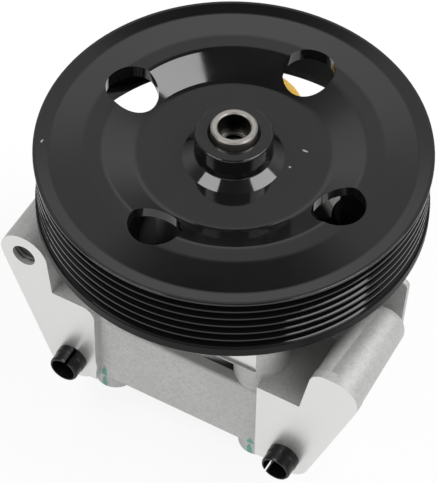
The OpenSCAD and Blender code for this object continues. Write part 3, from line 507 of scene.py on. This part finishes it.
def casting_material(name, finish, milled_planes, dabs, shaded_holes):
    """Sandy cast aluminium, milled in some planes, with painted shade round the neck and in the listed
    holes, and dabs of inspection paint.
    """
    material, tree, shader = new_material(name)
    tints = {part: tinted(finish.casting_colour, factor) for part, factor in CASTING_TINTS.items()}
    grain = place_group(tree, "Casting grain", Grain=finish.grain_size)
    marks = place_group(tree, "Handling marks", Smudge_size=0.03, Speck_size=0.004)
    pits = ramp(tree, grain.outputs["Height"], 0.56, 0.40)
    specks = maths(tree, "MULTIPLY", marks.outputs["Specks"], 0.35)
    # painted shade: the neck and body top under the pulley are near-black and metallic, standing in for the
    # pulley's shadow
    neck_shade = neck_shade_mask(tree)
    base = mix_colours(tree, grain.outputs["Tone"], tints["dark"], tints["light"])
    base = mix_colours(tree, pits, base, tints["pit"])
    base = mix_colours(tree, specks, base, tints["speck"])
    base = mix_colours(tree, neck_shade, base, tints["painted_shade"])
    rough = mix_values(tree, grain.outputs["Height"], 0.48, 0.68)
    metal = mix_values(tree, neck_shade, 0.35, 1.0)
    depth = grain.outputs["Height"]
    if milled_planes:
        milled = milled_mask(tree, *milled_planes)
        cuts = place_group(tree, "Turning marks", Centre=CUTTER_CENTRE, Axis=ALONG_Y,
                           Lines_per_metre=2600.0)
        base = mix_colours(tree, milled, base, tints["milled"])
        rough = blend_values(tree, milled, rough, 0.35)
        metal = maths(tree, "MAXIMUM", metal, maths(tree, "MULTIPLY", milled, 0.80))
        depth = blend_values(tree, milled, depth, maths(tree, "MULTIPLY", cuts.outputs["Height"], 0.12))
    for centre, reach in dabs:
        dab = place_group(tree, "Dab and shade mask", Centre=centre, Reach=reach, Rag=0.9)
        base = mix_colours(tree, dab.outputs["Mask"], base, finish.mark_colour)
    # painted shade: the inside of each listed hole is darkened
    for centre, reach in shaded_holes:
        hole = place_group(tree, "Dab and shade mask", Centre=centre, Reach=reach, Rag=0.0)
        base = mix_colours(tree, hole.outputs["Mask"], base, tints["hole"])
    tree.links.new(base, shader.inputs["Base Color"])
    tree.links.new(rough, shader.inputs["Roughness"])
    tree.links.new(metal, shader.inputs["Metallic"])
    bump(tree, shader, depth, 0.00012, 0.55)
    return material


def paint_material(name, finish, gloss, chips, turned, rim=()):
    """Gloss black paint with a faint orange peel, smudges and a few chips, duller on a rim."""
    material, tree, shader = new_material(name)
    marks = place_group(tree, "Handling marks", Smudge_size=0.035, Speck_size=0.0022)
    smudged = tinted(finish.paint_colour, 1.35)
    base = mix_colours(tree, marks.outputs["Smudge"], finish.paint_colour, smudged)
    for centre, reach in chips:
        chip = place_group(tree, "Dab and shade mask", Centre=centre, Reach=reach, Rag=1.1)
        worn = maths(tree, "MULTIPLY", chip.outputs["Mask"], 0.45)
        base = mix_colours(tree, worn, base, CHIP_COLOUR)
    tree.links.new(base, shader.inputs["Base Color"])
    rough = mix_values(tree, marks.outputs["Smudge"], gloss, gloss + 0.05)
    if rim:
        band, lip = rim_masks(tree, *rim)
        rough = maths(tree, "ADD", rough, maths(tree, "MULTIPLY", lip, 0.40))
        dull = maths(tree, "ADD", maths(tree, "MULTIPLY", band, 0.4), maths(tree, "MULTIPLY", lip, 0.45))
        tree.links.new(dull, shader.inputs["Metallic"])
    tree.links.new(rough, shader.inputs["Roughness"])
    place = tree.nodes.new("ShaderNodeTexCoord").outputs["Object"]
    peel = bump(tree, shader, noise(tree, place, 700.0, 2.0), 0.00002, 0.12)
    if turned:
        rings = place_group(tree, "Turning marks", Lines_per_metre=3000.0)
        bump(tree, shader, rings.outputs["Height"], 0.00002, 0.10, below=peel)
    return material


def steel_material(name, colour, roughness, centre, axis, lines, metallic=1.0, shaded_bore=()):
    """Turned metal with fine rings round its axis and faint handling marks, with painted shade on a bore's
    walls where a bore is given.
    """
    material, tree, shader = new_material(name)
    rings = place_group(tree, "Turning marks", Centre=centre, Axis=axis, Lines_per_metre=lines)
    marks = place_group(tree, "Handling marks", Smudge_size=0.008, Speck_size=0.0015)
    base = mix_colours(tree, rings.outputs["Tone"], tinted(colour, 0.78), tinted(colour, 1.15))
    specks = maths(tree, "MULTIPLY", marks.outputs["Specks"], 0.5)
    base = mix_colours(tree, specks, base, tinted(colour, 0.3))
    # painted shade: the puller hole's walls go dark, while the shoulder in it keeps the steel colour
    if shaded_bore:
        base = mix_colours(tree, bore_shade_mask(tree, *shaded_bore), base, tinted(colour, 0.10))
    tree.links.new(base, shader.inputs["Base Color"])
    rough = mix_values(tree, marks.outputs["Smudge"], roughness, roughness + 0.14)
    tree.links.new(rough, shader.inputs["Roughness"])
    shader.inputs["Metallic"].default_value = metallic
    bump(tree, shader, rings.outputs["Height"], 0.00003, 0.4)
    return material


def soft_material(name, colour, roughness):
    """Moulded rubber or plastic with a fine mould grain."""
    material, tree, shader = new_material(name)
    grain = place_group(tree, "Casting grain", Grain=0.0004)
    marks = place_group(tree, "Handling marks", Smudge_size=0.012, Speck_size=0.001)
    base = mix_colours(tree, grain.outputs["Tone"], tinted(colour, 0.88), tinted(colour, 1.10))
    tree.links.new(base, shader.inputs["Base Color"])
    rough = mix_values(tree, marks.outputs["Smudge"], roughness, roughness + 0.15)
    tree.links.new(rough, shader.inputs["Roughness"])
    bump(tree, shader, grain.outputs["Height"], 0.00004, 0.3)
    return material


def middle_of(node):
    """Middle of a CAD node's box."""
    low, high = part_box(node)
    return tuple((a + b) / 2 for a, b in zip(low, high))


def dress(material, *nodes):
    """Gives CAD nodes their finished material."""
    for name in nodes:
        mesh = frame["nodes"][name].data
        mesh.materials.clear()
        mesh.materials.append(material)


# Screw threads and springs


def build_thread_tree():
    """Geometry Nodes tree: a helical tooth wound inside a plain hole."""
    tree = bpy.data.node_groups.new("Screw thread", "GeometryNodeTree")
    sockets = [(name, "NodeSocketFloat") for name in ("Radius", "Pitch", "Length", "Tooth")]
    sockets.append(("Place", "NodeSocketVector"))
    sockets.append(("Turn", "NodeSocketRotation"))
    sockets.append(("Metal", "NodeSocketMaterial"))
    for name, kind in sockets:
        tree.interface.new_socket(name, in_out="INPUT", socket_type=kind)
    tree.interface.new_socket("Thread", in_out="OUTPUT", socket_type="NodeSocketGeometry")
    start = tree.nodes.new("NodeGroupInput")
    end = tree.nodes.new("NodeGroupOutput")
    turns = tree.nodes.new("ShaderNodeMath")
    turns.operation = "DIVIDE"
    tree.links.new(start.outputs["Length"], turns.inputs[0])
    tree.links.new(start.outputs["Pitch"], turns.inputs[1])
    spiral = tree.nodes.new("GeometryNodeCurveSpiral")
    spiral.inputs["Resolution"].default_value = STEPS_PER_TURN
    tree.links.new(turns.outputs[0], spiral.inputs["Rotations"])
    tree.links.new(start.outputs["Radius"], spiral.inputs["Start Radius"])
    tree.links.new(start.outputs["Radius"], spiral.inputs["End Radius"])
    tree.links.new(start.outputs["Length"], spiral.inputs["Height"])
    tooth = tree.nodes.new("GeometryNodeCurvePrimitiveCircle")
    tooth.inputs["Resolution"].default_value = TOOTH_SIDES
    tree.links.new(start.outputs["Tooth"], tooth.inputs["Radius"])
    sweep = tree.nodes.new("GeometryNodeCurveToMesh")
    sweep.inputs["Fill Caps"].default_value = True
    tree.links.new(spiral.outputs["Curve"], sweep.inputs["Curve"])
    tree.links.new(tooth.outputs["Curve"], sweep.inputs["Profile Curve"])
    move = tree.nodes.new("GeometryNodeTransform")
    tree.links.new(sweep.outputs["Mesh"], move.inputs["Geometry"])
    tree.links.new(start.outputs["Place"], move.inputs["Translation"])
    tree.links.new(start.outputs["Turn"], move.inputs["Rotation"])
    realize = tree.nodes.new("GeometryNodeRealizeInstances")
    tree.links.new(move.outputs["Geometry"], realize.inputs["Geometry"])
    metal = tree.nodes.new("GeometryNodeSetMaterial")
    tree.links.new(realize.outputs["Geometry"], metal.inputs["Geometry"])
    tree.links.new(start.outputs["Metal"], metal.inputs["Material"])
    tree.links.new(metal.outputs["Geometry"], end.inputs["Thread"])
    return tree


def grow(name, tree, values):
    """Runs a Geometry Nodes tree with its named inputs and returns the result as a plain mesh object."""
    carrier = bpy.data.objects.new(name + "_carrier", bpy.data.meshes.new(name + "_carrier"))
    bpy.context.scene.collection.objects.link(carrier)
    modifier = carrier.modifiers.new("Grow", "NODES")
    modifier.node_group = tree
    for socket in tree.interface.items_tree:
        if socket.item_type == "SOCKET" and socket.in_out == "INPUT" and socket.name in values:
            modifier[socket.identifier] = values[socket.name]
    depsgraph = bpy.context.evaluated_depsgraph_get()
    mesh = bpy.data.meshes.new_from_object(carrier.evaluated_get(depsgraph))
    mesh.name = name
    carrier.modifiers.remove(modifier)
    bpy.data.objects.remove(carrier)
    piece = bpy.data.objects.new(name, mesh)
    bpy.context.scene.collection.objects.link(piece)
    return piece


def merged_copy(node, name):
    """Copy of a CAD node's mesh with its loose triangles joined, as a piece of its own."""
    mesh = frame["nodes"][node].data.copy()
    mesh.name = name
    work = bmesh.new()
    work.from_mesh(mesh)
    bmesh.ops.remove_doubles(work, verts=work.verts, dist=MERGE_DISTANCE)
    work.to_mesh(mesh)
    work.free()
    mesh.set_sharp_from_angle(angle=SHARP_ANGLE)
    piece = bpy.data.objects.new(name, mesh)
    bpy.context.scene.collection.objects.link(piece)
    return piece


# Operators


class PUMP_OT_finish_castings(bpy.types.Operator):
    """Gives the housing and the rear cover their cast and milled skin"""

    bl_idname = "pump.finish_castings"
    bl_label = "Finish castings"

    def execute(self, context):
        finish = context.scene.pump_finish
        pad_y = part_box("housing")[0][1]
        planes = (pad_y, pad_y + BOSS_SETBACK)
        # the ear's tapped hole gets painted shade inside
        ear = MOUNTS["ear_thread"]
        half_length = ear["dims"]["length_mm"] / 2000
        ear_reach = (EAR_HOLE_R, half_length / EAR_HOLE_MARGIN, EAR_HOLE_R)
        shaded_holes = ((ear["pos_m"], ear_reach),)
        dress(casting_material("Cast housing", finish, planes, PAINT_DABS, shaded_holes), "housing")
        dress(casting_material("Cast cover", finish, (), PAINT_DABS, ()), "rear_cover")
        # painted shade: the threads in the cast holes are dark grey, far darker than the casting, for the
        # shade inside the holes
        steel_material("Tapped aluminium in painted shade", (0.16, 0.16, 0.155), 0.35, SHAFT_FOOT, ALONG_Y, 2000.0)
        return {"FINISHED"}


class PUMP_OT_finish_pulley(bpy.types.Operator):
    """Paints the pulley and its hub gloss black"""

    bl_idname = "pump.finish_pulley"
    bl_label = "Finish pulley"

    def execute(self, context):
        finish = context.scene.pump_finish
        foot_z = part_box("pulley")[0][2]
        rim = (RIB_FLOOR_R, foot_z + RIB_BAND_HEIGHT, foot_z + LOWER_LIP_HEIGHT)
        dress(paint_material("Pulley paint", finish, 0.065, PAINT_CHIPS, turned=False, rim=rim), "pulley")
        dress(paint_material("Hub paint", finish, 0.06, (), turned=True), "pulley_hub")
        return {"FINISHED"}


class PUMP_OT_finish_steel(bpy.types.Operator):
    """Finishes the shaft, sleeves, bolts and fittings"""

    bl_idname = "pump.finish_steel"
    bl_label = "Finish steel"

    def execute(self, context):
        finish = context.scene.pump_finish
        thread = MOUNTS["puller_thread"]
        shoulder_z = thread["pos_m"][2] + thread["dims"]["length_mm"] / 2000
        # the puller hole's walls get painted shade
        shaded_bore = (PULLER_HOLE_R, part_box("shaft")[1][2] - PULLER_MOUTH_DEPTH, shoulder_z)
        shaft = steel_material("Shaft steel", finish.steel_colour, 0.30, SHAFT_FOOT, ALONG_Z, 3500.0,
                               shaded_bore=shaded_bore)
        dress(shaft, "shaft")
        bolts = steel_material("Bolt phosphate", (0.05, 0.05, 0.048), 0.42, SHAFT_FOOT, ALONG_Z, 900.0)
        dress(bolts, "cover_bolts")
        for side in ("left", "right"):
            node = "sleeve_" + side
            sleeve = steel_material("Sleeve steel " + side, finish.sleeve_colour, 0.28, middle_of(node),
                                    ALONG_Y, 2600.0, metallic=0.6)
            dress(sleeve, node)
        outlet = middle_of("outlet_union")
        union = steel_material("Union zinc", finish.zinc_colour, 0.34, outlet, ALONG_X, 2200.0)
        dress(union, "outlet_union")
        washer = steel_material("Washer copper", (0.70, 0.36, 0.20), 0.36, outlet, ALONG_X, 2200.0)
        dress(washer, "union_washer")
        suction = middle_of("suction_stub")
        stub = steel_material("Stub zinc", finish.zinc_colour, 0.34, suction, ALONG_Y, 2200.0)
        dress(stub, "suction_stub")
        return {"FINISHED"}


class PUMP_OT_finish_inside(bpy.types.Operator):
    """Finishes the bearing, the pumping pack, the valve and the seals"""

    bl_idname = "pump.finish_inside"
    bl_label = "Finish inside"

    def execute(self, context):
        ground = steel_material("Ground steel", (0.50, 0.51, 0.53), 0.22, SHAFT_FOOT, ALONG_Z, 3200.0)
        vanes = ["vane_%d" % number for number in range(1, 11)]
        dress(ground, "cam_ring", "rotor", "front_plate", "rear_plate", "locating_pins", *vanes)
        bearing = steel_material("Bearing steel", (0.60, 0.61, 0.62), 0.16, SHAFT_FOOT, ALONG_Z, 4200.0)
        dress(bearing, "bearing_outer_ring", "bearing_inner_ring", "bearing_balls")
        valve = middle_of("flow_spool")
        spool = steel_material("Spool steel", (0.58, 0.59, 0.61), 0.18, valve, ALONG_X, 3800.0)
        dress(spool, "flow_spool", "relief_ball", "relief_guide")
        springs = steel_material("Spring steel", (0.30, 0.31, 0.33), 0.32, valve, ALONG_X, 900.0)
        dress(springs, "valve_spring", "relief_spring", "plate_spring")
        clips = steel_material("Clip steel", (0.05, 0.05, 0.052), 0.38, SHAFT_FOOT, ALONG_Z, 2600.0,
                               metallic=0.7)
        dress(clips, "bearing_circlip", "rotor_clip")
        bronze = steel_material("Bronze", (0.56, 0.36, 0.15), 0.34, SHAFT_FOOT, ALONG_Z, 2800.0)
        dress(bronze, "rear_bush", "bearing_cage", "relief_seat")
        rubber = soft_material("Seal rubber", (0.02, 0.02, 0.02), 0.55)
        dress(rubber, "cover_seal", "shaft_seal", "plate_seal", "stub_seal", "bearing_shields")
        return {"FINISHED"}


class PUMP_OT_finish_cap(bpy.types.Operator):
    """Gives the shipping cap its moulded plastic"""

    bl_idname = "pump.finish_cap"
    bl_label = "Finish cap"

    def execute(self, context):
        dress(soft_material("Cap plastic", tuple(context.scene.pump_finish.cap_colour), 0.36), "port_cap")
        return {"FINISHED"}


class PUMP_OT_cut_threads(bpy.types.Operator):
    """Winds a thread in each tapped hole"""

    bl_idname = "pump.cut_threads"
    bl_label = "Cut threads"

    def execute(self, context):
        threads = context.scene.pump_threads
        tree = build_thread_tree()
        jobs = [
            ("ear_thread", threads.coarse_pitch, "root", "cast_aluminium", "Tapped aluminium in painted shade"),
            ("pad_thread_left", threads.pad_pitch, "root", "cast_aluminium", "Tapped aluminium in painted shade"),
            ("pad_thread_right", threads.pad_pitch, "root", "cast_aluminium", "Tapped aluminium in painted shade"),
            ("outlet_port", threads.outlet_pitch, "root", "bolt_steel", "Union zinc"),
            ("puller_thread", threads.coarse_pitch, "drive", "bright_steel", "Shaft steel"),
        ]
        for name, pitch, body, slot, metal in jobs:
            mount = MOUNTS[name]
            axis = Vector(mount["axis"])
            radius = mount["dims"]["r_mm"] / 1000
            length = mount["dims"]["length_mm"] / 1000 - pitch
            start = Vector(mount["pos_m"]) - axis * length / 2
            piece = grow("thread_" + name, tree, {
                "Radius": radius + THREAD_SINK,
                "Pitch": pitch,
                "Length": length,
                "Tooth": pitch * TOOTH_SHARE,
                "Place": start,
                "Turn": axis.to_track_quat("Z", "Y").to_euler(),
                "Metal": bpy.data.materials[metal],
            })
            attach(piece, body)
        return {"FINISHED"}


class PUMP_OT_coil_springs(bpy.types.Operator):
    """Puts in joined copies of the valve springs, each hung on its body, in place of the CAD springs"""

    bl_idname = "pump.coil_springs"
    bl_label = "Coil springs"

    def execute(self, context):
        bodies = {"valve_spring": "root", "relief_spring": "spool"}
        for joint in frame["record"]["behaviour"]["joints"]:
            for spring in joint.get("deforming_nodes", []):
                node = spring["node"]
                piece = merged_copy(node, node + "_coil")
                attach(piece, bodies[node])
                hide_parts(node)
                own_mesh(piece)
        return {"FINISHED"}


class PUMP_OT_set_stage(bpy.types.Operator):
    """Sets the floor, the lamps, the room light and the camera"""

    bl_idname = "pump.set_stage"
    bl_label = "Set stage"

    def execute(self, context):
        stage = context.scene.pump_stage
        self.lay_floor(context, stage)
        self.light_room(context, stage)
        lamps = (
            ("left_box", (-0.366, -0.439, 0.987), 32, (0.50, 0.36), stage.window_light),
            ("right_box", (0.614, 0.249, 0.921), -36, (0.66, 0.36), stage.window_light),
            ("top_box", (0.365, 0.190, 1.120), -58, (0.395, 0.20), stage.window_light),
            ("front_lamp", (-0.10, -1.20, 0.40), 0, (1.8, 0.7), stage.front_light),
            ("side_lamp", (1.10, -0.35, 0.45), 0, (0.9, 0.7), stage.side_light),
        )
        for name, place, lean, size, brightness in lamps:
            self.hang_lamp(context, name, place, lean, size, brightness)
        self.stand_camera(context, stage)
        context.scene.view_settings.view_transform = "Standard"
        return {"FINISHED"}

    def lay_floor(self, context, stage):
        """Large pale floor under the pump."""
        mesh = bpy.data.meshes.new("floor")
        floor_z = CAD_BOX[0][2]
        signs = ((-1, -1), (1, -1), (1, 1), (-1, 1))
        corners = [(x * FLOOR_REACH, y * FLOOR_REACH, floor_z) for x, y in signs]
        mesh.from_pydata(corners, [], [(0, 1, 2, 3)])
        floor = bpy.data.objects.new("floor", mesh)
        context.scene.collection.objects.link(floor)
        material, tree, shader = new_material("Floor")
        place = tree.nodes.new("ShaderNodeTexCoord").outputs["Object"]
        tone = noise(tree, place, 3.0, 2.0)
        dark = tinted(stage.floor_colour, 0.985)
        light = tinted(stage.floor_colour, 1.01)
        colour = mix_colours(tree, tone, dark, light)
        tree.links.new(colour, shader.inputs["Base Color"])
        shader.inputs["Roughness"].default_value = 0.9
        shader.inputs["Specular IOR Level"].default_value = 0.1
        white = add_node(tree, "ShaderNodeEmission", Color=(1.0, 1.0, 1.0, 1.0), Strength=1.0)
        path = tree.nodes.new("ShaderNodeLightPath")
        seen = path.outputs["Is Camera Ray"]
        for ray in ("Is Glossy Ray", "Is Transmission Ray"):
            seen = maths(tree, "MAXIMUM", seen, path.outputs[ray])
        blend = tree.nodes.new("ShaderNodeMixShader")
        tree.links.new(maths(tree, "MULTIPLY", seen, stage.floor_glow), blend.inputs[0])
        tree.links.new(shader.outputs["BSDF"], blend.inputs[1])
        tree.links.new(white.outputs["Emission"], blend.inputs[2])
        tree.links.new(blend.outputs["Shader"], tree.nodes["Material Output"].inputs["Surface"])
        mesh.materials.append(material)

    def light_room(self, context, stage):
        """Soft light from the wall behind the pump, dimmer at the horizon, overhead and in front."""
        world = bpy.data.worlds.new("Room")
        context.scene.world = world
        world.use_nodes = True
        tree = world.node_tree
        back = tree.nodes["Background"]
        back.inputs["Color"].default_value = (1.0, 1.0, 1.0, 1.0)
        place = tree.nodes.new("ShaderNodeTexCoord").outputs["Generated"]
        parts = tree.nodes.new("ShaderNodeSeparateXYZ")
        tree.links.new(place, parts.inputs["Vector"])
        level = 0.28
        steps = ((0.10, 0.48, 1.42), (0.60, 0.75, -0.52), (0.85, 0.94, -1.10))
        for low, high, change in steps:
            step = maths(tree, "MULTIPLY", ramp(tree, parts.outputs["Z"], low, high), change)
            level = maths(tree, "ADD", step, level)
        back_wall = (-0.47, 0.88, 0.0)
        behind = vector_maths(tree, "DOT_PRODUCT", place, back_wall).outputs["Value"]
        share = mix_values(tree, ramp(tree, behind, 0.10, 0.45), 0.40 * stage.room_light, stage.room_light)
        tree.links.new(maths(tree, "MULTIPLY", level, share), back.inputs["Strength"])

    def hang_lamp(self, context, name, place, lean, size, brightness):
        """Soft rectangular lamp, turned towards the pump and leant over by some degrees."""
        lamp = bpy.data.lights.new(name, "AREA")
        lamp.shape = "RECTANGLE"
        lamp.size, lamp.size_y = size
        lamp.energy = brightness * math.pi * size[0] * size[1]
        holder = bpy.data.objects.new(name, lamp)
        holder.location = place
        level = (Vector(LAMP_AIM) - Vector(place)).to_track_quat("-Z", "Y").to_matrix()
        holder.rotation_euler = (level @ Matrix.Rotation(math.radians(lean), 3, "Z")).to_euler()
        context.scene.collection.objects.link(holder)

    def stand_camera(self, context, stage):
        """Camera at the photograph's angle."""
        camera = bpy.data.cameras.new("camera")
        camera.sensor_fit = "HORIZONTAL"
        camera.sensor_width = 36.0
        camera.lens = stage.focal_pixels / IMAGE_WIDTH * camera.sensor_width
        camera.clip_start = 0.01
        holder = bpy.data.objects.new("camera", camera)
        view = Vector(stage.camera_aim) - Vector(stage.camera_place)
        level = view.to_track_quat("-Z", "Y").to_matrix().to_4x4()
        roll = Matrix.Rotation(stage.camera_roll, 4, "Z")
        holder.matrix_world = Matrix.Translation(Vector(stage.camera_place)) @ level @ roll
        context.scene.collection.objects.link(holder)
        context.scene.camera = holder


class PUMP_PT_looks(bpy.types.Panel):
    """Lists the pump's looks"""

    bl_label = "Pump"
    bl_idname = "PUMP_PT_looks"
    bl_space_type = "VIEW_3D"
    bl_region_type = "UI"
    bl_category = "Pump"

    def draw(self, context):
        layout = self.layout
        for settings in (context.scene.pump_finish, context.scene.pump_threads, context.scene.pump_stage):
            box = layout.box()
            for key in settings.bl_rna.properties.keys():
                if key not in ("rna_type", "name"):
                    box.prop(settings, key)
        for operator in OPERATORS:
            layout.operator(operator.bl_idname)


OPERATORS = (
    PUMP_OT_finish_castings,
    PUMP_OT_finish_pulley,
    PUMP_OT_finish_steel,
    PUMP_OT_finish_inside,
    PUMP_OT_finish_cap,
    PUMP_OT_cut_threads,
    PUMP_OT_coil_springs,
    PUMP_OT_set_stage,
)
SETTINGS = (PumpFinishSettings, PumpThreadSettings, PumpStageSettings)
CLASSES = SETTINGS + OPERATORS + (PUMP_PT_looks,)


def register():
    for cls in CLASSES:
        bpy.utils.register_class(cls)
    bpy.types.Scene.pump_finish = bpy.props.PointerProperty(type=PumpFinishSettings)
    bpy.types.Scene.pump_threads = bpy.props.PointerProperty(type=PumpThreadSettings)
    bpy.types.Scene.pump_stage = bpy.props.PointerProperty(type=PumpStageSettings)


def unregister():
    del bpy.types.Scene.pump_stage
    del bpy.types.Scene.pump_threads
    del bpy.types.Scene.pump_finish
    for cls in reversed(CLASSES):
        bpy.utils.unregister_class(cls)


def main():
    register()
    bpy.ops.pump.finish_castings()
    bpy.ops.pump.finish_pulley()
    bpy.ops.pump.finish_steel()
    bpy.ops.pump.finish_inside()
    bpy.ops.pump.finish_cap()
    bpy.ops.pump.cut_threads()
    bpy.ops.pump.coil_springs()
    bpy.ops.pump.set_stage()


if __name__ == "__main__":
    main()
